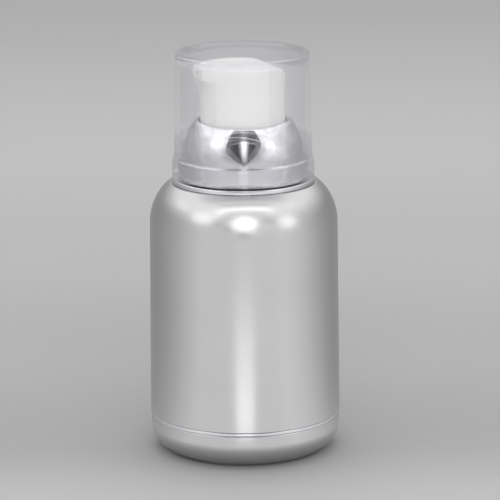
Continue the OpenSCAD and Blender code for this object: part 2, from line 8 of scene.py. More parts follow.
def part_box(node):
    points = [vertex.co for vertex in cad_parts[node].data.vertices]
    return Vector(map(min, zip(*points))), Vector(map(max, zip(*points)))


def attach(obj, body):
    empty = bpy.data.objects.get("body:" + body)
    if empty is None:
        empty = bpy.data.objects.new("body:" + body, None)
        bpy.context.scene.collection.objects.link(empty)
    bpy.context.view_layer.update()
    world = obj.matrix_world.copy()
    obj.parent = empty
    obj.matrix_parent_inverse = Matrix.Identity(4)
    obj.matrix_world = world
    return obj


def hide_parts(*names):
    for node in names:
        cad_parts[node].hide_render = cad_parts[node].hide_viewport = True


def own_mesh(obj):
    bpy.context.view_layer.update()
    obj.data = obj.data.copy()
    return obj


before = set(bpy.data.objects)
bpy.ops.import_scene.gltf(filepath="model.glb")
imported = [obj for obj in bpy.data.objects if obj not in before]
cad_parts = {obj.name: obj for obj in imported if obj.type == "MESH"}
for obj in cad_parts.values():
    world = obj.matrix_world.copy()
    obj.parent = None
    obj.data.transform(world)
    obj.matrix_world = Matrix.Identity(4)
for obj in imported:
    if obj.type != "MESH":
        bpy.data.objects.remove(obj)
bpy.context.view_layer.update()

scene = bpy.context.scene
mm = 0.001

# Camera: a long lens from a little above, with the spout turned 22 degrees towards the viewer
cameraSet = {
    "azimuth": -22.0,
    "distance": 0.8939,
    "height": 0.2799,
    "pitchDown": 13.626,
    "panRight": 0.121,
    "roll": 0.468,
    "lens": 210.9,
}


def around(azimuth, distance, height):
    # A point round the bottle; azimuth 0 is towards -Y, as the views count it
    a = math.radians(azimuth)
    return Vector((math.sin(a) * distance, -math.cos(a) * distance, height))


def makeCamera(c):
    data = bpy.data.cameras.new("camera")
    data.sensor_width = 36
    data.lens = c["lens"]
    camera = bpy.data.objects.new("camera", data)
    scene.collection.objects.link(camera)
    turn = Matrix.Rotation(math.radians(c["azimuth"] - c["panRight"]), 4, "Z")
    tilt = Matrix.Rotation(math.radians(90 - c["pitchDown"]), 4, "X")
    roll = Matrix.Rotation(math.radians(-c["roll"]), 4, "Z")
    place = Matrix.Translation(around(c["azimuth"], c["distance"], c["height"]))
    camera.matrix_world = place @ turn @ tilt @ roll
    scene.camera = camera


makeCamera(cameraSet)
print("camera placed")


# Shaders
def linear(hexColour):
    # sRGB hex to linear RGBA
    out = []
    for i in (1, 3, 5):
        c = int(hexColour[i:i + 2], 16) / 255
        out.append(c / 12.92 if c <= 0.04045 else ((c + 0.055) / 1.055) ** 2.4)
    return (*out, 1)


def addNode(tree, kind, links=None, values=None, **settings):
    # Adds a node: settings are its own, values fill its inputs, links join its inputs to other sockets
    node = tree.nodes.new(kind)
    for name, value in settings.items():
        setattr(node, name, value)
    for name, value in (values or {}).items():
        node.inputs[name].default_value = value
    for name, socket in (links or {}).items():
        tree.links.new(socket, node.inputs[name])
    return node


def ramp(tree, value, stops, low, high):
    # Brightness along a value, from (value, brightness) stops
    shift = addNode(tree, "ShaderNodeMapRange", {"Value": value}, {"From Min": low, "From Max": high})
    node = addNode(tree, "ShaderNodeValToRGB", {"Fac": shift.outputs[0]})
    node.color_ramp.interpolation = "EASE"
    elements = node.color_ramp.elements
    scale = max(s[1] for s in stops)
    while len(elements) < len(stops):
        elements.new(0.5)
    for element, (at, brightness) in zip(elements, stops):
        element.position = (at - low) / (high - low)
        element.color = (brightness / scale,) * 3 + (1,)
    bright = addNode(tree, "ShaderNodeMath", {0: node.outputs["Color"]}, {1: scale}, operation="MULTIPLY")
    return bright.outputs[0]


def smooth(tree, value, low, high, start=0, end=1):
    # Goes softly from start to end as the value goes from low to high
    return addNode(tree, "ShaderNodeMapRange", {"Value": value},
                   {"From Min": low, "From Max": high, "To Min": start, "To Max": end},
                   interpolation_type="SMOOTHSTEP").outputs[0]


def spread(tree, value, limits):
    # Spreads a value of 0 to 1 between two limits
    return addNode(tree, "ShaderNodeMapRange", {"Value": value},
                   {"To Min": limits[0], "To Max": limits[1]}).outputs[0]


def blended(tree, share, first, second):
    # A mix of two hex colours
    mix = addNode(tree, "ShaderNodeMix", {0: share}, data_type="RGBA")
    mix.inputs[6].default_value = linear(first)
    mix.inputs[7].default_value = linear(second)
    return mix.outputs[2]


def noise(tree, place, size, detail):
    # Soft noise on Object coordinates, with a pattern of this size in mm
    return addNode(tree, "ShaderNodeTexNoise", {"Vector": place.outputs["Object"]},
                   {"Scale": 1 / (size * mm), "Detail": detail}).outputs[0]


def roughen(tree, shader, pattern, height):
    # Raises the surface by a pattern of this height in mm
    bump = addNode(tree, "ShaderNodeBump", {"Height": pattern}, {"Strength": 1, "Distance": height * mm})
    tree.links.new(bump.outputs[0], shader.inputs["Normal"])


def reachOf(tree, vector):
    return addNode(tree, "ShaderNodeVectorMath", {0: vector}, operation="LENGTH").outputs["Value"]


def newMaterial(name, **values):
    material = bpy.data.materials.new(name)
    material.use_nodes = True
    tree = material.node_tree
    shader = tree.nodes["Principled BSDF"]
    for key, value in values.items():
        shader.inputs[key.replace("_", " ")].default_value = value
    return material, tree, shader


def patterned(name, look, **values):
    # A moulded or sprayed surface: tone, gloss and height vary with three noises on Object coordinates.
    # look: dark and light tones, tone size, gloss range and size, grain size and height, all sizes in mm
    material, tree, shader = newMaterial(name, **values)
    place = addNode(tree, "ShaderNodeTexCoord")
    tone = blended(tree, noise(tree, place, look["toneSize"], 3), look["dark"], look["light"])
    tree.links.new(tone, shader.inputs["Base Color"])
    gloss = spread(tree, noise(tree, place, look["glossSize"], 2), look["gloss"])
    tree.links.new(gloss, shader.inputs["Roughness"])
    roughen(tree, shader, noise(tree, place, look["grainSize"], 2), look["grainHeight"])
    return material


# Satin silver lacquer, sprayed on a moulded shell: fine aluminium flake under a soft clear coat.
# The flake is a few hundredths of a millimetre, drawn at 0.3 mm so that it shows as a fine grain.
lacquerLook = {
    "dark": "#c0c0c1", "light": "#c8c8c9", "toneSize": 22,
    "gloss": (0.23, 0.27), "glossSize": 9,
    "grainSize": 0.3, "grainHeight": 0.004,
}
silverLacquer = patterned("satin silver lacquer", lacquerLook, Metallic=1.0)

# Bright anodised aluminium, drawn and polished: mirror-like, with a faint ripple from the drawing die
brightLook = {
    "dark": "#e2e2e4", "light": "#ececee", "toneSize": 12,
    "gloss": (0.03, 0.07), "glossSize": 5,
    "grainSize": 3.0, "grainHeight": 0.006,
}
brightAluminium = patterned("bright anodised aluminium", brightLook, Metallic=1.0)

# Polished aluminium rings, turned and buffed: a little duller than the collar
ringLook = {
    "dark": "#d4d4d8", "light": "#dedee2", "toneSize": 8,
    "gloss": (0.10, 0.16), "glossSize": 3,
    "grainSize": 0.8, "grainHeight": 0.002,
}
polishedRing = patterned("polished aluminium", ringLook, Metallic=1.0)

# White polypropylene, injection moulded with a fine eroded texture: soft sheen, light gets a little way in
whiteLook = {
    "dark": "#ebebe8", "light": "#f1f1ee", "toneSize": 14,
    "gloss": (0.26, 0.34), "glossSize": 6,
    "grainSize": 0.5, "grainHeight": 0.003,
}
whiteMoulded = patterned("white polypropylene", whiteLook, IOR=1.49, Subsurface_Weight=0.15,
                         Subsurface_Radius=(1.2, 1.0, 0.8), Subsurface_Scale=0.001)

# Natural polypropylene, unpigmented: milky, waxy and faintly see-through
naturalLook = {
    "dark": "#dfe2e2", "light": "#eaecec", "toneSize": 6,
    "gloss": (0.32, 0.42), "glossSize": 4,
    "grainSize": 0.4, "grainHeight": 0.003,
}
naturalMoulded = patterned("natural polypropylene", naturalLook, IOR=1.49, Subsurface_Weight=0.3,
                           Subsurface_Radius=(2.0, 2.0, 2.2), Subsurface_Scale=0.001)

# Low density polyethylene of the pump piston: softer and waxier, with a cool tint
pistonLook = {
    "dark": "#c2cfe0", "light": "#ccd8e8", "toneSize": 4,
    "gloss": (0.40, 0.48), "glossSize": 3,
    "grainSize": 0.3, "grainHeight": 0.002,
}
pistonMoulded = patterned("low density polyethylene", pistonLook, IOR=1.51, Subsurface_Weight=0.3,
                          Subsurface_Radius=(1.5, 1.6, 1.8), Subsurface_Scale=0.001)

# Milky copolymer of the inner bottle, blow moulded: faint flow marks up the wall
bottleLook = {
    "dark": "#e3e6e8", "light": "#eef0f1", "toneSize": 18,
    "gloss": (0.20, 0.30), "glossSize": 8,
    "grainSize": 2.5, "grainHeight": 0.01,
}
milkyBottle = patterned("milky copolymer", bottleLook, IOR=1.50, Subsurface_Weight=0.4,
                        Subsurface_Radius=(2.5, 2.5, 2.6), Subsurface_Scale=0.001)

# Thermoplastic elastomer of the gasket and the follower's seal: matt and a little dusty
sealLook = {
    "dark": "#979ba2", "light": "#a6aab0", "toneSize": 3,
    "gloss": (0.60, 0.72), "glossSize": 2,
    "grainSize": 0.3, "grainHeight": 0.006,
}
softSeal = patterned("thermoplastic elastomer", sealLook, IOR=1.52)

# Drawn stainless steel wire and ground balls: fine lines too small to show, so a soft sheen
steelLook = {
    "dark": "#a8a8ac", "light": "#b8b8bb", "toneSize": 2,
    "gloss": (0.18, 0.28), "glossSize": 1,
    "grainSize": 0.2, "grainHeight": 0.001,
}
stainlessSteel = patterned("stainless steel", steelLook, Metallic=1.0)


# Clear styrene acrylonitrile, injection moulded and glossy: a faint violet cast in its thick edges.
# Lamps and soft light pass straight through it to what stands inside, as they do through a thin wall,
# and so does most of what the eye sees, because a wall this thin and even hardly bends it.
clearLook = {
    "tint": "#fdfdfe", "passed": "#fefeff",             # colours of bent and of straight light
    "edgeTint": "#cfcbe0", "edgePassed": "#ebe9f2",     # the same in the thick edges
    "hazeSize": 3, "haze": (0.0, 0.02),
    "rippleSize": 9, "rippleHeight": 0.004,
    # Height in mm, share of the edges' colours
    "edge": [(90, 0.06), (97, 0.06), (101, 0), (123.2, 0), (124.6, 0.4), (127, 0.4)],
    # Height in mm, share of light that goes straight on: less in the thick lip and top rim
    "straightShare": [(90, 0.60), (98.5, 0.60), (101, 0.88), (123, 0.88), (125, 0.50), (127, 0.50)],
    "plateShare": 0.88,             # the same share in the plate
    "plateRadius": (19.0, 20.4),    # where the plate passes into the rim
}


def byHeight(tree, z, stops):
    # A value along the height, from (mm, value) stops
    stops = [(height * mm, value) for height, value in stops]
    return ramp(tree, z, stops, stops[0][0], stops[-1][0])


def makeClearPlastic(look):
    material, tree, shader = newMaterial("clear styrene acrylonitrile", IOR=1.56, Transmission_Weight=1.0)
    place = addNode(tree, "ShaderNodeTexCoord")
    haze = spread(tree, noise(tree, place, look["hazeSize"], 2), look["haze"])
    tree.links.new(haze, shader.inputs["Roughness"])
    roughen(tree, shader, noise(tree, place, look["rippleSize"], 1), look["rippleHeight"])
    path = addNode(tree, "ShaderNodeLightPath")
    soft = addNode(tree, "ShaderNodeMath",
                   {0: path.outputs["Is Shadow Ray"], 1: path.outputs["Is Diffuse Ray"]}, operation="MAXIMUM")
    z = addNode(tree, "ShaderNodeSeparateXYZ", {0: place.outputs["Object"]}).outputs["Z"]
    thin = byHeight(tree, z, look["straightShare"])
    flat = addNode(tree, "ShaderNodeVectorMath", {0: place.outputs["Object"]}, {1: (1, 1, 0)},
                   operation="MULTIPLY")
    outer = addNode(tree, "ShaderNodeMapRange", {"Value": reachOf(tree, flat.outputs[0])},
                    {"From Min": look["plateRadius"][0] * mm, "From Max": look["plateRadius"][1] * mm})
    plate = spread(tree, outer.outputs[0], (look["plateShare"], 0))
    clearer = addNode(tree, "ShaderNodeMath", {0: thin, 1: plate}, operation="MAXIMUM")
    share = addNode(tree, "ShaderNodeMath", {0: soft.outputs[0], 1: clearer.outputs[0]}, operation="MAXIMUM")
    rim = byHeight(tree, z, look["edge"])
    thick = addNode(tree, "ShaderNodeMath", {0: rim, 1: outer.outputs[0]}, operation="MULTIPLY").outputs[0]
    tree.links.new(blended(tree, thick, look["tint"], look["edgeTint"]), shader.inputs["Base Color"])
    straight = addNode(tree, "ShaderNodeBsdfTransparent",
                       {"Color": blended(tree, thick, look["passed"], look["edgePassed"])})
    both = addNode(tree, "ShaderNodeMixShader",
                   {0: share.outputs[0], 1: shader.outputs[0], 2: straight.outputs[0]})
    tree.links.new(both.outputs[0], tree.nodes["Material Output"].inputs["Surface"])
    return material


clearPlastic = makeClearPlastic(clearLook)
print("materials made:", len(bpy.data.materials))


# Modelling helpers
def span(node):
    # Greatest radius, lowest and highest point of a node that lies round the axis, in mm
    low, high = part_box(node)
    return high.x / mm, low.z / mm, high.z / mm


def arc(cx, cz, rx, rz, start, end, steps):
    points = []
    for i in range(steps + 1):
        a = math.radians(start + (end - start) * i / steps)
        points.append((cx + rx * math.cos(a), cz + rz * math.sin(a)))
    return points


def linked(name, bm):
    # An object from a finished bmesh
    mesh = bpy.data.meshes.new(name)
    bm.to_mesh(mesh)
    bm.free()
    piece = bpy.data.objects.new(name, mesh)
    scene.collection.objects.link(piece)
    return piece


def makeObject(name, bm, sharp=40):
    for face in bm.faces:
        face.smooth = True
    piece = linked(name, bm)
    piece.data.set_sharp_from_angle(angle=math.radians(sharp))
    weigh = piece.modifiers.new("even shading", "WEIGHTED_NORMAL")
    weigh.keep_sharp = True
    return piece


def turned(name, corners, steps=320, cornerSteps=4):
    # A turned piece: corners are (radius, height[, rounding]) in mm, spun round the axis
    bm = bmesh.new()
    verts = [bm.verts.new((c[0] * mm, 0, c[1] * mm)) for c in corners]
    bm.faces.new(verts)
    for size in sorted({c[2] for c in corners if len(c) > 2}):
        chosen = [v for v, c in zip(verts, corners) if len(c) > 2 and c[2] == size]
        bmesh.ops.bevel(bm, geom=chosen, offset=size * mm, offset_type="OFFSET", segments=cornerSteps,
                        profile=0.5, affect="VERTICES", clamp_overlap=True, material=-1)
    bmesh.ops.delete(bm, geom=bm.faces[:], context="FACES_ONLY")
    onAxis = [e for e in bm.edges if all(abs(v.co.x) < 1e-9 for v in e.verts)]
    bmesh.ops.delete(bm, geom=onAxis, context="EDGES")
    bmesh.ops.spin(bm, geom=bm.verts[:] + bm.edges[:], cent=(0, 0, 0), axis=(0, 0, 1),
                   angle=2 * math.pi, steps=steps, use_merge=True)
    bmesh.ops.remove_doubles(bm, verts=bm.verts[:], dist=1e-7)
    bmesh.ops.recalc_face_normals(bm, faces=bm.faces[:])
    return makeObject(name, bm)


def fit(piece, material, body, node):
    # Gives a piece its material, its slot and its body, and lets it stand for a CAD node
    piece.data.materials.clear()
    piece.data.materials.append(material)
    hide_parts(node)
    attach(piece, body)


# Silver shell with its round shoulder
shellSet = {
    "wall": 1.6,
    "draft": 0.6,            # how much narrower each side is where the shoulder starts
    "ovalWidth": 12.283,     # half width and half height of the oval that the shoulder follows
    "ovalHeight": 15.0,
    "mouth": 19.55,
    "rise": 13.1,            # height of the shoulder
    "footRound": 0.35,
    "lipRound": 0.25,
}


def makeShell(s):
    bodyR, low, high = span("outer_shell")
    ovalR = bodyR - s["draft"] - s["ovalWidth"]
    start = high - s["rise"]
    outAngle = math.degrees(math.asin(s["rise"] / s["ovalHeight"]))
    inAngle = math.degrees(math.acos((s["mouth"] - ovalR) / (s["ovalWidth"] - s["wall"])))
    outer = arc(ovalR, start, s["ovalWidth"], s["ovalHeight"], 0, outAngle, 40)
    inner = arc(ovalR, start, s["ovalWidth"] - s["wall"], s["ovalHeight"] - s["wall"], inAngle, 0, 20)
    outer[-1] = (*outer[-1], s["lipRound"])
    corners = [(bodyR - s["wall"], low), (bodyR, low, s["footRound"])] + outer + [(s["mouth"], high)] + inner
    piece = turned("silver_shell", corners)
    fit(piece, silverLacquer, "bottle", "outer_shell")
    return piece


silverShell = makeShell(shellSet)

# Foot cup with its large round edge
footSet = {
    "round": 8.0,
    "wall": 1.8,
    "hollow": 1.0,       # depth of the hollow under the foot
    "floorEdge": 4.0,    # width of the ring that it stands on, inside the round edge
    "rimRound": 0.35,
    "spigotInset": 1.45, # how much narrower the spigot is than the trim ring, on each side
    "spigotHeight": 4.0,
    "spigotWall": 0.85,
    "vent": 3.0,         # radius of the air hole
    "seatHeight": 8.0,
    "seatRadius": 24.25,
}


def makeFoot(s):
    footR, low, high = span("base_cup")
    rim = high - s["spigotHeight"]
    spigotR = span("trim_ring")[0] - s["spigotInset"]
    socketR = spigotR - s["spigotWall"]
    hollowR = footR - s["round"] - s["floorEdge"]
    floorZ = s["hollow"] + s["wall"]
    corners = [(s["vent"], low + s["hollow"], 0.3), (hollowR - s["hollow"], low + s["hollow"], 0.6),
               (hollowR, low, 0.3)]
    corners += arc(footR - s["round"], low + s["round"], s["round"], s["round"], -90, 0, 32)
    corners += [(footR, rim, s["rimRound"]), (spigotR, rim), (spigotR, high, 0.2), (socketR, high, 0.2),
                (socketR, s["seatHeight"]), (s["seatRadius"], s["seatHeight"], 0.2),
                (s["seatRadius"], floorZ, 0.6), (s["vent"], floorZ, 0.2)]
    piece = turned("foot_cup", corners)
    fit(piece, silverLacquer, "bottle", "base_cup")


makeFoot(footSet)

# Polished rings at the foot and the neck
ringSet = {
    "trimWall": 1.4,
    "trimRound": 0.2,
    "neckInner": 17.05,
    "neckSpigot": 19.40,     # radius of the part that sits in the shell's mouth
    "neckStep": 1.8,         # height of that part
    "neckRound": 0.35,
}


def makeRings(s):
    trimR, low, high = span("trim_ring")
    innerR = trimR - s["trimWall"]
    trim = turned("trim_band", [(innerR, low), (trimR, low, s["trimRound"]), (trimR, high, s["trimRound"]),
                                (innerR, high)], cornerSteps=3)
    fit(trim, polishedRing, "bottle", "trim_ring")
    neckR, low, high = span("neck_ring")
    step = low + s["neckStep"]
    neck = turned("neck_band", [(s["neckInner"], low, 0.2), (s["neckSpigot"], low, 0.2),
                                (s["neckSpigot"], step), (neckR, step, 0.3), (neckR, high, s["neckRound"]),
                                (s["neckInner"], high, 0.2)])
    fit(neck, polishedRing, "bottle", "neck_ring")


makeRings(ringSet)
print("body, foot and rings made")

# Bright collar with its dome
collarSet = {
    "footRadius": 19.0,
    "wall": 1.0,
    "flangeHeight": 5.5,
    "domeCurve": 22.5,
    "domeDrop": 0.7,     # the dome's widest place lies this far below the flange's top
    "hole": 13.7,
    "holeWall": 0.9,
    "rimHeight": 0.7,
    "rimInset": 0.2,     # the rim's curve ends this far outside the hole
    "rimCurve": 1.38,    # height of the curve's oval in rim heights
    "rimReach": 1.04,    # width of the oval in widths of the rim
    "rimStart": 24,      # degrees round the oval where it leaves the dome
    "roof": 3.1,
    "tubeLow": 97.8,
}


def makeCollar(s):
    flangeR, low, high = span("collar_cover")
    flangeTop = low + s["flangeHeight"]
    domeZ = flangeTop - s["domeDrop"]
    domeC = s["footRadius"] - s["domeCurve"]
    first = math.degrees(math.asin(s["domeDrop"] / s["domeCurve"]))
    last = math.degrees(math.asin((high - s["rimHeight"] - domeZ) / s["domeCurve"]))
    inR = s["domeCurve"] - s["wall"]
    inTop = high - s["roof"]
    inLast = math.degrees(math.asin((inTop - domeZ) / inR))
    footIn = s["footRadius"] - s["wall"]
    corners = [(footIn, low, 0.15), (flangeR, low, 0.3), (flangeR, flangeTop, 0.35)]
    corners += arc(domeC, domeZ, s["domeCurve"], s["domeCurve"], first, last, 44)
    rimIn = s["hole"] + s["rimInset"]
    reach = corners[-1][0] - rimIn
    curve = s["rimHeight"] * s["rimCurve"]
    corners += arc(rimIn, high - curve, reach * s["rimReach"], curve, s["rimStart"], 90, 8)
    corners += [(s["hole"], high - 0.2), (s["hole"], s["tubeLow"]),
                (s["hole"] + s["holeWall"], s["tubeLow"]),
                (s["hole"] + s["holeWall"], inTop, 0.2)]
    corners += arc(domeC, domeZ, inR, inR, inLast, 0, 16)
    piece = turned("bright_collar", corners)
    fit(piece, brightAluminium, "closure", "collar_cover")


makeCollar(collarSet)
print("collar made")

# Clear overcap with its thick plate, crowned underneath, and the thicker lip at its mouth
capSet = {
    "topRadius": 20.8,
    "wallRadius": 21.45,
    "lipHeight": 4.5,
    "blend": 2.4,
    "wall": 1.5,
    "plate": 1.0,
    "crown": 0.2,        # how far the plate's underside bulges down in the middle
    "crownRim": 0.8,     # flat rim round the crown
    "crownSteps": 16,
    "innerDraft": 0.2,
    "mouth": 20.4,
    "ledge": 5.5,        # height of the step that rests on the collar's flange
    "rimRound": 0.5,
}


def makeCap(s):
    lipR, low, high = span("overcap")
    under = high - s["plate"]
    innerTop = s["topRadius"] - s["wall"]
    innerFoot = s["wallRadius"] - s["wall"] - s["innerDraft"]
    corners = [(s["mouth"], low, 0.3), (lipR, low, 0.5), (lipR, low + s["lipHeight"], 1.0),
               (s["wallRadius"], low + s["lipHeight"] + s["blend"], 1.2),
               (s["topRadius"], high, s["rimRound"]), (0, high)]
    edge = innerTop - s["crownRim"]
    for i in range(s["crownSteps"] + 1):
        q = i / s["crownSteps"]
        corners.append((q * edge, under - s["crown"] * (1 - q * q)))
    corners += [(innerTop, under, 0.3), (innerFoot, low + s["ledge"], 0.3),
                (s["mouth"], low + s["ledge"], 0.2)]
    piece = turned("clear_overcap", corners, steps=360, cornerSteps=6)
    fit(piece, clearPlastic, "overcap", "overcap")


makeCap(capSet)
print("overcap made")

# Push button: a round skirt, a short beak along -X and a top that falls away in a large curve at the back
buttonSet = {
    "radius": 13.2,
    "wall": 1.2,
    "spoutWidth": 7.6,
    "spoutHeight": 3.4,
    "spoutRise": 0.3,
    "spoutFoot": 3.35,   # how far the beak's underside drops before it meets the wall
    "spoutBlend": 0.45,  # this far below the beak, the wall still reaches out by this share of it
    "spoutShare": 0.78,
    "fallStart": 5.0,    # where the top starts to fall, along X
    "fallDrop": 17.0,
    "fallPower": 3.3,
    "fallEnd": 13.4,
    "fallMargin": 0.12,  # the rim stops this far before the fall's end
    "roof": 1.4,
    "boss": 4.6,
    "bossFoot": 106.0,
    "socket": 3.32,
    "socketTop": 113.0,
    "roofRings": (6.5, 8.5, 10.2, 11.3),    # radii of the mesh's rings under the roof
    "topRings": (0.985, 0.965, 0.93, 0.88, 0.82, 0.74, 0.64, 0.52, 0.38, 0.22, 0.08),
    "edgeRound": 0.45,
    "sharp": 50,
    "steps": 240,
}


def makeButton(s):
    low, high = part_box("actuator")
    skirt, top, reach = low.z / mm, high.z / mm, -low.x / mm
    level = top - s["spoutRise"]
    corner = math.atan2(s["spoutWidth"] / 2, reach)
    touch = corner + math.acos(s["radius"] / math.hypot(reach, s["spoutWidth"] / 2))
    step = 2 * math.pi / s["steps"]

    def topAt(x):
        if x < s["fallStart"]:
            return level + s["spoutRise"] * (s["fallStart"] - x) / (s["fallStart"] + reach)
        behind = (x - s["fallStart"]) / (s["fallEnd"] - s["fallStart"])
        return level - s["fallDrop"] * (1 - (1 - behind ** s["fallPower"]) ** (1 / s["fallPower"]))

    def outline(phi):
        # Radius of the plan at an angle from the beak's direction
        if abs(phi) < corner + 1e-6:
            return reach / math.cos(phi)
        if abs(phi) < touch:
            return s["radius"] / math.cos(touch - abs(phi))
        return s["radius"]

    bm = bmesh.new()
    bmesh.ops.create_circle(bm, cap_ends=True, radius=1, segments=s["steps"])
    face = bm.faces[:][0]
    spokes = []
    for loop in face.loops:
        phi = math.atan2(loop.vert.co.y, -loop.vert.co.x)
        if abs(abs(phi) - corner) < step / 2:
            phi = math.copysign(corner, phi)
        spokes.append(phi)

    def place(ring, rule):
        for loop, phi in zip(ring.loops, spokes):
            r, z = rule(phi)
            loop.vert.co = Vector((-r * math.cos(phi), r * math.sin(phi), z)) * mm

    def nextRing(ring, rule):
        # A new ring of faces inside the last face, placed by the rule
        bmesh.ops.inset_individual(bm, faces=[ring], thickness=1e-5, depth=0)
        place(ring, rule)
        return ring

    def rimZ(phi):
        return topAt(min(-outline(phi) * math.cos(phi), s["fallEnd"] - s["fallMargin"]))

    def wallZ(phi, share):
        return skirt + (rimZ(phi) - skirt) * share

    tall = top - skirt
    beakLow = (tall - s["spoutHeight"] - s["spoutFoot"]) / tall
    beakMid = (tall - s["spoutHeight"] - s["spoutBlend"]) / tall
    beakTip = (tall - s["spoutHeight"]) / tall

    def part(phi, share):
        # The plan between the round wall and the beak's outline
        return s["radius"] + (outline(phi) - s["radius"]) * share

    # From the middle of the hollow inside out to the skirt, up the wall and in over the top
    place(face, lambda phi: (s["socket"], s["socketTop"]))
    inside = [
        lambda phi: (s["socket"], s["bossFoot"]),
        lambda phi: (s["boss"], s["bossFoot"]),
    ]
    innerR = s["radius"] - s["wall"]
    for r in (s["boss"], *s["roofRings"], innerR):
        inside.append(lambda phi, r=r: (r, topAt(-r * math.cos(phi)) - s["roof"]))
    inside.append(lambda phi: (innerR, skirt))
    outside = [
        lambda phi: (s["radius"], skirt),
        lambda phi: (s["radius"], wallZ(phi, 0.3)),
        lambda phi: (s["radius"], wallZ(phi, 0.55)),
        lambda phi: (s["radius"], wallZ(phi, beakLow)),
        lambda phi: (part(phi, s["spoutShare"]), wallZ(phi, beakMid)),
        lambda phi: (part(phi, 1.0), wallZ(phi, beakTip)),
        lambda phi: (part(phi, 1.0), rimZ(phi)),
    ]
    caps = []
    for share in s["topRings"]:
        caps.append(lambda phi, share=share: (
            outline(phi) * share, topAt(-outline(phi) * share * math.cos(phi))))
    for rule in inside + outside + caps:
        face = nextRing(face, rule)
    bmesh.ops.recalc_face_normals(bm, faces=bm.faces[:])
    return bm, rimZ


def roundButton(bm, s, rimZ):
    # Rounds the rim of the top
    rim = []
    for edge in bm.edges:
        a, b = (v.co / mm for v in edge.verts)
        phis = [math.atan2(p.y, -p.x) for p in (a, b)]
        if all(abs(p.z - rimZ(phi)) < 1e-3 and math.hypot(p.x, p.y) > s["radius"] - 0.01
               for p, phi in zip((a, b), phis)):
            rim.append(edge)
    bmesh.ops.bevel(bm, geom=rim, offset=s["edgeRound"] * mm, offset_type="OFFSET", segments=4, profile=0.5,
                    affect="EDGES", clamp_overlap=True, material=-1)


tipSet = {"past": 1.0, "sides": 48}    # the cutter reaches this far out of the beak


def boreTip(piece, s):
    # The seat of the nozzle insert, sunk into the beak's end face
    low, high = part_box("nozzle_insert")
    bm = bmesh.new()
    radius = (high.z - low.z) / 2
    past = s["past"] * mm
    turn = Matrix.Rotation(math.pi / 2, 4, "Y")
    middle = Vector(((low.x + high.x - past) / 2, 0, (low.z + high.z) / 2))
    bmesh.ops.create_cone(bm, cap_ends=True, segments=s["sides"], radius1=radius, radius2=radius,
                          depth=high.x - low.x + past, matrix=Matrix.Translation(middle) @ turn)
    cutter = linked("tip bore", bm)
    cut = piece.modifiers.new("tip bore", "BOOLEAN")
    cut.operation = "DIFFERENCE"
    cut.solver = "EXACT"
    cut.object = cutter
    # The shading is left out while the hole is applied
    piece.modifiers.move(1, 0)
    piece.modifiers["even shading"].show_viewport = False
    bored = bpy.data.meshes.new_from_object(piece.evaluated_get(bpy.context.evaluated_depsgraph_get()))
    piece.modifiers["even shading"].show_viewport = True
    piece.modifiers.remove(cut)
    piece.data = bored
    bored.name = "push_button"
    bored.set_sharp_from_angle(angle=math.radians(buttonSet["sharp"]))
    bpy.data.objects.remove(cutter)


buttonMesh, buttonRim = makeButton(buttonSet)
roundButton(buttonMesh, buttonSet, buttonRim)
button = makeObject("push_button", buttonMesh, sharp=buttonSet["sharp"])
boreTip(button, tipSet)
fit(button, whiteMoulded, "button", "actuator")
print("button made")

# CAD pieces that keep their shape and get their finish
finishes = {
    "nozzle_insert": whiteMoulded,
    "screw_closure": naturalMoulded,
    "neck_gasket": softSeal,
    "pump_housing": naturalMoulded,
    "housing_cap": naturalMoulded,
    "ball_cage": naturalMoulded,
    "inlet_ball": stainlessSteel,
    "stem": naturalMoulded,
    "valve_stem": naturalMoulded,
    "pump_piston": pistonMoulded,
    "outlet_ball": stainlessSteel,
    "inner_bottle": milkyBottle,
    "follower_piston": naturalMoulded,
    "follower_seal": softSeal,
    "base_plug": naturalMoulded,
}
for node, material in finishes.items():
    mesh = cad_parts[node].data
    mesh.materials.clear()
    mesh.materials.append(material)

# Return spring: round wire wound up a helix between the housing's cap and the button
springSet = {"turns": 6, "wire": 0.45, "meanRadius": 5.2, "wireSides": 12, "stepsPerTurn": 40}


def makeSpring(s):
    low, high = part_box("return_spring")
    foot = low.z + s["wire"] * mm
    rise = high.z - s["wire"] * mm - foot
    bm = bmesh.new()
    circle = bmesh.ops.create_circle(bm, cap_ends=False, radius=s["wire"] * mm, segments=s["wireSides"])
    ring = circle["verts"]
    bmesh.ops.rotate(bm, verts=ring, cent=(0, 0, 0), matrix=Matrix.Rotation(math.pi / 2, 3, "X"))
    bmesh.ops.translate(bm, verts=ring, vec=(s["meanRadius"] * mm, 0, foot))
    bmesh.ops.contextual_create(bm, geom=bm.edges[:])
    steps = s["turns"] * s["stepsPerTurn"]
    start = bm.faces[:]
    bmesh.ops.spin(bm, geom=start, cent=(0, 0, 0), axis=(0, 0, 1), angle=2 * math.pi * s["turns"],
                   steps=steps, dvec=(0, 0, rise / steps))
    bmesh.ops.recalc_face_normals(bm, faces=bm.faces[:])
    piece = makeObject("return_coil", bm)
    fit(piece, stainlessSteel, "pump", "return_spring")
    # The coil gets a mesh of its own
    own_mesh(piece)


makeSpring(springSet)
print("inner pieces finished")

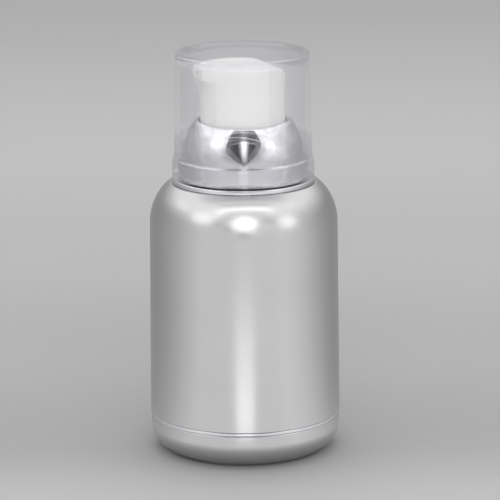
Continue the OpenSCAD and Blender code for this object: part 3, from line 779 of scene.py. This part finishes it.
# Studio: a pale floor inside a light tent, which the bright surfaces mirror
studioSet = {
    "floor": "#b9b9b9",
    "floorRadius": 3.0,
    "fade": (1.2, 2.94),     # where the floor starts to fade and where it is gone
    "fibres": 900,           # paper fibres per metre
    "fibreHeight": 0.0001,
    "fibreStrength": 0.2,
    "background": "#b9b9b9",
    "softLight": 0.85,       # plain light of the tent on matt surfaces
    "sheetRadius": 2.6,      # bright part of the table, as the satin body mirrors it
    "sheetStart": 0.030,
    "sheetFadeIn": 0.02,
    "sheetFadeOut": 0.12,
    "sheetHeight": 0.0005,
    "topFrom": (8, 32),      # degrees up over which the tent's sides pass into its top
    "eye": 0.098,            # height that the tent's cards are laid out from
    "lampAim": 0.06,         # height that the lamps face
    "cardDistance": 1.1,
}
# Brightness of the tent round the bottle: degrees from the camera, to the right
tentSides = [(-180, 0.37), (-150, 0.37), (-126, 0.40), (-104, 0.50), (-85, 0.62), (-70, 0.77), (-50, 0.93),
             (-29, 0.91), (0, 0.91), (33, 0.94), (46, 1.00), (60, 0.92), (74, 0.83), (91, 0.66),
             (110, 0.49), (129, 0.40), (156, 0.37), (180, 0.37)]
# Painted shade and light on the floor, darkest in a band level with the bottle and brightest about half a
# metre behind it: metres behind the bottle, share of its colour
paintedFloorShade = [(-0.30, 0.90), (-0.06, 0.88), (0.0, 0.72), (0.11, 0.81), (0.26, 0.90), (0.46, 0.98),
              (0.94, 0.84), (1.10, 0.82)]
# Brightness of the tent overhead: degrees above the horizon
tentTop = [(25, 0.95), (35, 1.25), (52, 1.30), (66, 0.80), (90, 0.60)]


def onlyMirrored(card):
    card.visible_camera = False
    card.visible_diffuse = False
    card.visible_shadow = False


def newGlow(name, strength=1.0):
    material = bpy.data.materials.new(name)
    material.use_nodes = True
    tree = material.node_tree
    tree.nodes.clear()
    light = addNode(tree, "ShaderNodeEmission", values={"Strength": strength})
    addNode(tree, "ShaderNodeOutputMaterial", {"Surface": light.outputs[0]})
    return material, tree, light


def fadeGlow(tree, light, share):
    # Shows the glow where the share is 1 and nothing where it is 0
    clear = addNode(tree, "ShaderNodeBsdfTransparent")
    mixed = addNode(tree, "ShaderNodeMixShader", {0: share, 1: clear.outputs[0], 2: light.outputs[0]})
    tree.links.new(mixed.outputs[0], tree.nodes["Material Output"].inputs["Surface"])


def seenFromCamera(tree, vector):
    # Turns a direction or place so that -Y is towards the camera
    turn = addNode(tree, "ShaderNodeVectorRotate", {"Vector": vector},
                   {"Angle": math.radians(-cameraSet["azimuth"])}, rotation_type="Z_AXIS")
    return addNode(tree, "ShaderNodeSeparateXYZ", {0: turn.outputs[0]}).outputs


def sideLight(tree, x, y):
    ahead = addNode(tree, "ShaderNodeMath", {0: y}, {1: -1}, operation="MULTIPLY")
    angle = addNode(tree, "ShaderNodeMath", {0: x, 1: ahead.outputs[0]}, operation="ARCTAN2")
    degrees = addNode(tree, "ShaderNodeMath", {0: angle.outputs[0]}, operation="DEGREES")
    return ramp(tree, degrees.outputs[0], tentSides, -180, 180)


def facing(height, azimuth, elevation, distance):
    # Place and turn of a lamp or card that faces the axis at this height
    e = math.radians(elevation)
    middle = Vector((0, 0, height))
    spot = middle + around(cameraSet["azimuth"] + azimuth, distance * math.cos(e), distance * math.sin(e))
    return Matrix.Translation(spot) @ (spot - middle).to_track_quat("Z", "Y").to_matrix().to_4x4()


def makeCard(name, corners, material):
    # A flat card from its corners
    bm = bmesh.new()
    bm.faces.new([bm.verts.new(p) for p in corners])
    card = linked(name, bm)
    card.data.materials.append(material)
    onlyMirrored(card)
    return card


def makeSoftCard(name, azimuth, elevation, halfWidth, halfHeight, strength, core):
    # An oval card with a soft edge, sized by the angles that it fills; core is its even part
    material, tree, light = newGlow(name, strength)
    coords = addNode(tree, "ShaderNodeTexCoord")
    fadeGlow(tree, light, smooth(tree, reachOf(tree, coords.outputs["Object"]), 1.0, core))
    card = makeCard(name, [(-1, -1, 0), (1, -1, 0), (1, 1, 0), (-1, 1, 0)], material)
    distance = studioSet["cardDistance"]
    size = [distance * math.tan(math.radians(h)) for h in (halfWidth, halfHeight)]
    place = facing(studioSet["eye"], azimuth, elevation, distance)
    card.matrix_world = place @ Matrix.Diagonal((*size, 1, 1))


def makeFloor(s):
    # A round sheet whose edge fades into the background, so that low views show no hard horizon
    bm = bmesh.new()
    bmesh.ops.create_circle(bm, cap_ends=True, radius=s["floorRadius"], segments=96)
    floor = linked("floor", bm)
    material, tree, shader = newMaterial("matt grey paper", Roughness=0.8)
    place = addNode(tree, "ShaderNodeTexCoord")
    fibre = addNode(tree, "ShaderNodeTexNoise", {"Vector": place.outputs["Object"]},
                    {"Scale": s["fibres"], "Detail": 2})
    bump = addNode(tree, "ShaderNodeBump", {"Height": fibre.outputs[0]},
                   {"Strength": s["fibreStrength"], "Distance": s["fibreHeight"]})
    tree.links.new(bump.outputs[0], shader.inputs["Normal"])
    # Painted shade and light: the floor's colour gets darker and lighter with depth as seen from the camera
    behind = seenFromCamera(tree, place.outputs["Object"])["Y"]
    tone = ramp(tree, behind, paintedFloorShade, paintedFloorShade[0][0], paintedFloorShade[-1][0])
    tree.links.new(blended(tree, tone, "#000000", s["floor"]), shader.inputs["Base Color"])
    fade = smooth(tree, reachOf(tree, place.outputs["Object"]), *s["fade"])
    clear = addNode(tree, "ShaderNodeBsdfTransparent")
    both = addNode(tree, "ShaderNodeMixShader", {0: fade, 1: shader.outputs[0], 2: clear.outputs[0]})
    tree.links.new(both.outputs[0], tree.nodes["Material Output"].inputs["Surface"])
    floor.data.materials.append(material)


def makeBrightSheet(s):
    # What the bright surfaces mirror of the table: as bright as the tent's side behind each place,
    # and gone near the foot's shadow
    material, tree, light = newGlow("lit table")
    place = addNode(tree, "ShaderNodeTexCoord")
    x, y, _ = seenFromCamera(tree, place.outputs["Object"])
    tree.links.new(sideLight(tree, x, y), light.inputs["Strength"])
    reach = reachOf(tree, place.outputs["Object"])
    inner = smooth(tree, reach, s["sheetStart"], s["sheetStart"] + s["sheetFadeIn"])
    outer = smooth(tree, reach, s["sheetRadius"], s["sheetRadius"] - s["sheetFadeOut"])
    both = addNode(tree, "ShaderNodeMath", {0: inner, 1: outer}, operation="MULTIPLY")
    fadeGlow(tree, light, both.outputs[0])
    bm = bmesh.new()
    bmesh.ops.create_circle(bm, cap_ends=True, radius=s["sheetRadius"], segments=64)
    bmesh.ops.translate(bm, verts=bm.verts[:], vec=(0, 0, s["sheetHeight"]))
    sheet = linked("litTable", bm)
    sheet.data.materials.append(material)
    onlyMirrored(sheet)
    sheet.visible_transmission = False


def makeWorld(s):
    # Plain grey to the camera and through glass, plain light on matt surfaces; mirrors see the tent
    world = bpy.data.worlds.new("light tent")
    world.use_nodes = True
    scene.world = world
    tree = world.node_tree
    plain = tree.nodes["Background"]
    plain.inputs["Color"].default_value = linear(s["background"])
    white = linear("#ffffff")
    soft = addNode(tree, "ShaderNodeBackground", values={"Color": white, "Strength": s["softLight"]})
    place = addNode(tree, "ShaderNodeTexCoord")
    x, y, z = seenFromCamera(tree, place.outputs["Generated"])
    rise = addNode(tree, "ShaderNodeMath", {0: z}, operation="ARCSINE")
    degrees = addNode(tree, "ShaderNodeMath", {0: rise.outputs[0]}, operation="DEGREES")
    top = ramp(tree, degrees.outputs[0], tentTop, 0, 90)
    share = smooth(tree, degrees.outputs[0], *s["topFrom"])
    strength = addNode(tree, "ShaderNodeMix", {0: share, 2: sideLight(tree, x, y), 3: top})
    tent = addNode(tree, "ShaderNodeBackground", {"Strength": strength.outputs[0]}, {"Color": white})
    path = addNode(tree, "ShaderNodeLightPath")
    first = addNode(tree, "ShaderNodeMixShader",
                    {0: path.outputs["Is Glossy Ray"], 1: soft.outputs[0], 2: tent.outputs[0]})
    seen = addNode(tree, "ShaderNodeMath",
                   {0: path.outputs["Is Camera Ray"], 1: path.outputs["Is Transmission Ray"]},
                   operation="MAXIMUM")
    both = addNode(tree, "ShaderNodeMixShader",
                   {0: seen.outputs[0], 1: first.outputs[0], 2: plain.outputs[0]})
    tree.links.new(both.outputs[0], tree.nodes["World Output"].inputs["Surface"])


# Lamps for the matt surfaces: name, azimuth from the camera, elevation, distance, width, height, power
lamps = [
    ("topSoftbox", 180, 78, 1.3, 0.9, 0.9, 4.6),
    ("frontSoftbox", 4, 26, 1.2, 0.9, 0.5, 3.9),
]
# Soft cards that the bright surfaces mirror: name, azimuth from the camera, elevation,
# half width and half height in degrees, brightness, even part
softCards = [
    ("leftCard", -56, 27, 22, 17, 1.8, 0.30),
    ("rightCard", 57, 18, 16, 17, 1.9, 0.35),
    ("leftHighCard", -100, 33, 26, 12, 1.4, 0.3),
    ("rightHighCard", 83, 44, 20, 12, 1.4, 0.3),
    ("overheadStrip", 4, 57, 36, 5, 3.2, 0.5),
    ("highStrip", 4, 77, 60, 4, 1.4, 0.5),
]
# Lamps that only the shell mirrors, over the tent's dark opening: its lacquer scatters more than the collar
shoulderLamps = [
    ("shoulderSoftbox", 0, 36, 0.54, 0.62, 0.40, 0.62),
    ("windowSoftbox", 1, 20, 0.54, 0.28, 0.26, 0.30),
]


def makeLamp(name, azimuth, elevation, distance, width, height, power):
    data = bpy.data.lights.new(name, "AREA")
    data.shape = "RECTANGLE"
    data.size = width
    data.size_y = height
    data.energy = power
    lamp = bpy.data.objects.new(name, data)
    scene.collection.objects.link(lamp)
    lamp.matrix_world = facing(studioSet["lampAim"], azimuth, elevation, distance)
    lamp.visible_camera = False
    return lamp


def lightShoulder():
    lit = bpy.data.collections.new("shoulder light")
    lit.objects.link(silverShell)
    for row in shoulderLamps:
        makeLamp(*row).light_linking.receiver_collection = lit


# Cards in front, with corners by azimuth and elevation from the eye's height
def towardsCamera(x, distance, height):
    # A place x to the right of the line from the bottle to the camera
    right = around(cameraSet["azimuth"] + 90, x, 0)
    return around(cameraSet["azimuth"], distance, height) + right


def frontCorners(s):
    corners = []
    for a, e in s["corners"]:
        a = math.radians(a)
        rise = s["distance"] / math.cos(a) * math.tan(math.radians(e))
        corners.append(towardsCamera(s["distance"] * math.tan(a), s["distance"], studioSet["eye"] + rise))
    return corners


# The tent's dark opening
openingSet = {
    "distance": 0.60,
    "corners": [(-36, 16), (-34, 39), (-30, 50), (34, 50), (40, 30), (34, 19), (1, -4)],
    "tone": [(0, 0.03), (25, 0.035), (38, 0.10), (50, 0.16)],     # degrees up, brightness
}


def makeOpening(s):
    material, tree, light = newGlow("tent opening")
    place = addNode(tree, "ShaderNodeTexCoord")
    z = addNode(tree, "ShaderNodeSeparateXYZ", {0: place.outputs["Object"]}).outputs["Z"]
    tone = [(studioSet["eye"] + s["distance"] * math.tan(math.radians(e)), b) for e, b in s["tone"]]
    tree.links.new(ramp(tree, z, tone, tone[0][0], tone[-1][0]), light.inputs["Strength"])
    makeCard("tentOpening", frontCorners(s), material)


# Pale cross bar of the tent's frame, over the opening
barSet = {
    "distance": 0.58,
    "corners": [(-33, 38.5), (-33, 40.5), (39, 32.5), (39, 30.5)],
    "strength": 0.75,
}


def makeBar(s):
    material = newGlow("tent frame", s["strength"])[0]
    makeCard("tentBar", frontCorners(s), material)


# The window in the opening
windowSet = {
    "distance": 0.57,
    "corners": [(0, 3), (-7, 20), (-10, 35), (14, 35), (10, 20), (5, 3)],
    "strength": (0.4, 2.6),      # at its foot and at its top
    "middle": 2,                 # degrees to the right
    "core": 0.02,                # metres to each side that stay even
    "side": 0.06,                # metres over which it fades past them
    "sideShare": 0.25,           # what is left there
}


def makeWindow(s):
    material, tree, light = newGlow("front window")
    place = addNode(tree, "ShaderNodeTexCoord")
    corners = frontCorners(s)
    heights = [c.z for c in corners]
    x, _, z = seenFromCamera(tree, place.outputs["Object"])
    middle = s["distance"] * math.tan(math.radians(s["middle"]))
    aside = addNode(tree, "ShaderNodeMath", {0: x}, {1: middle}, operation="SUBTRACT")
    away = addNode(tree, "ShaderNodeMath", {0: aside.outputs[0]}, operation="ABSOLUTE")
    sides = smooth(tree, away.outputs[0], s["core"], s["core"] + s["side"], 1.0, s["sideShare"])
    fade = addNode(tree, "ShaderNodeMapRange", {"Value": z},
                   {"From Min": min(heights), "From Max": max(heights),
                    "To Min": s["strength"][0], "To Max": s["strength"][1]})
    strength = addNode(tree, "ShaderNodeMath", {0: fade.outputs[0], 1: sides}, operation="MULTIPLY")
    tree.links.new(strength.outputs[0], light.inputs["Strength"])
    makeCard("frontWindow", corners, material)


# White card on the table in front of the foot, which brightens the middle of the body from below
wedgeSet = {
    "near": 0.062,
    "far": 0.30,
    "nearWidth": 0.008,
    "farWidth": 0.058,
    "height": 0.001,
    "bright": 1.7,
    "fadeFrom": 0.11,
    "fadeTo": 0.30,
    "faded": 0.86,
}


def makeWedge(s):
    material, tree, light = newGlow("white card on the table")
    place = addNode(tree, "ShaderNodeTexCoord")
    fade = addNode(tree, "ShaderNodeMapRange", {"Value": reachOf(tree, place.outputs["Object"])},
                   {"From Min": s["fadeFrom"], "From Max": s["fadeTo"],
                    "To Min": s["bright"], "To Max": s["faded"]})
    tree.links.new(fade.outputs[0], light.inputs["Strength"])
    places = [(s["nearWidth"], s["near"]), (s["farWidth"], s["far"]),
              (-s["farWidth"], s["far"]), (-s["nearWidth"], s["near"])]
    makeCard("frontFloorCard", [towardsCamera(x, y, s["height"]) for x, y in places], material)


makeFloor(studioSet)
makeBrightSheet(studioSet)
makeWorld(studioSet)
for row in lamps:
    lamp = makeLamp(*row)
    lamp.visible_glossy = False
    lamp.visible_transmission = False
for row in softCards:
    makeSoftCard(*row)
lightShoulder()
makeOpening(openingSet)
makeBar(barSet)
makeWindow(windowSet)
makeWedge(wedgeSet)
scene.view_settings.view_transform = "Standard"
print("studio lit")
